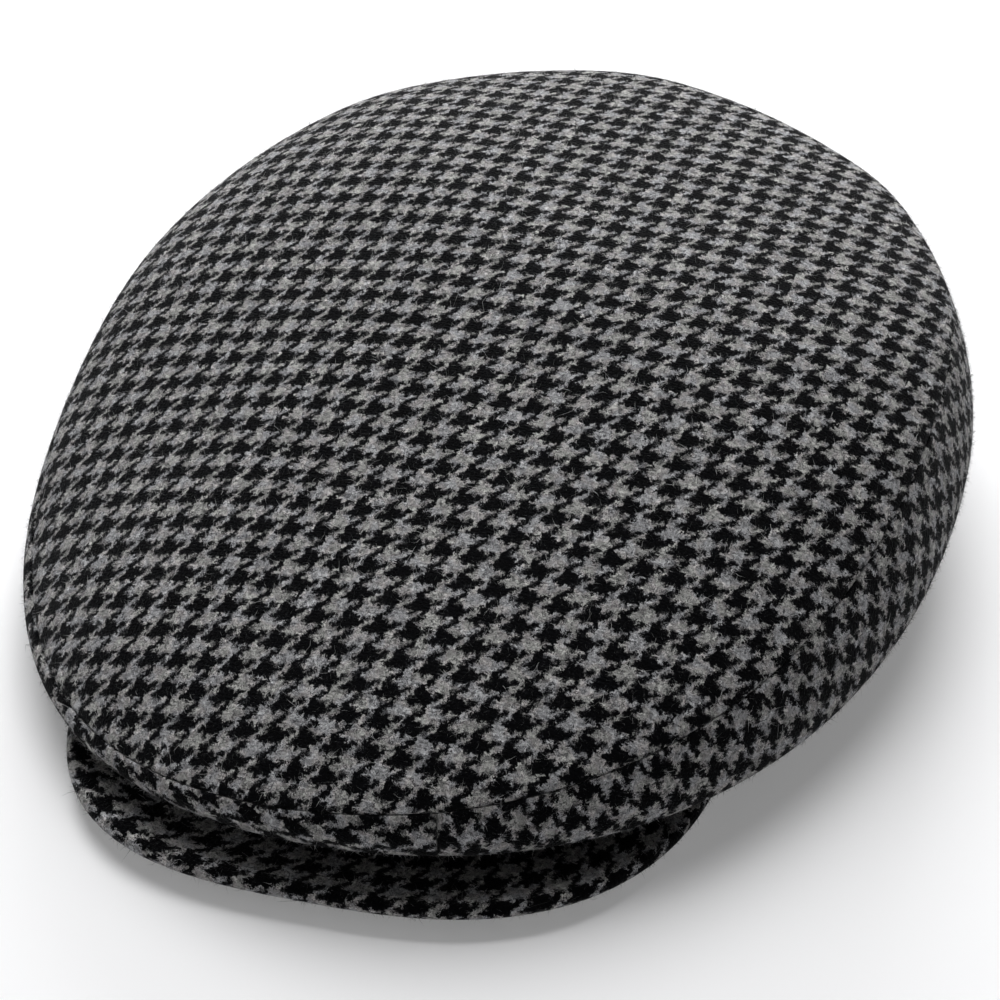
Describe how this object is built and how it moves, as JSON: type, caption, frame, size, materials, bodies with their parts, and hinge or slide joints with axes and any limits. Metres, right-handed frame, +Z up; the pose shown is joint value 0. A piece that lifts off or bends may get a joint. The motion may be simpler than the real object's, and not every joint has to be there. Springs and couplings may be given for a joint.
{
  "type": "flat cap",
  "caption": "Soft wool flat cap with an oval top panel, side panels turned under to an open oval hem, and a stiff curved peak in front.",
  "frame": {"origin": "on the floor, under the middle of the cap's bounding box", "axes": "+Z up, the peak points to -Y, +X to the right of someone who faces the cap"},
  "size_m": [0.2324, 0.2776, 0.072],
  "materials": {
    "wool_cloth": "brushed houndstooth wool, dark and mid grey",
    "peak_cloth": "brushed houndstooth wool over a stiff board"
  },
  "bodies": {
    "root": {"crown_top": "wool_cloth", "side_panel_right": "wool_cloth", "side_panel_left": "wool_cloth", "peak": "peak_cloth"}
  },
  "joints": []
}
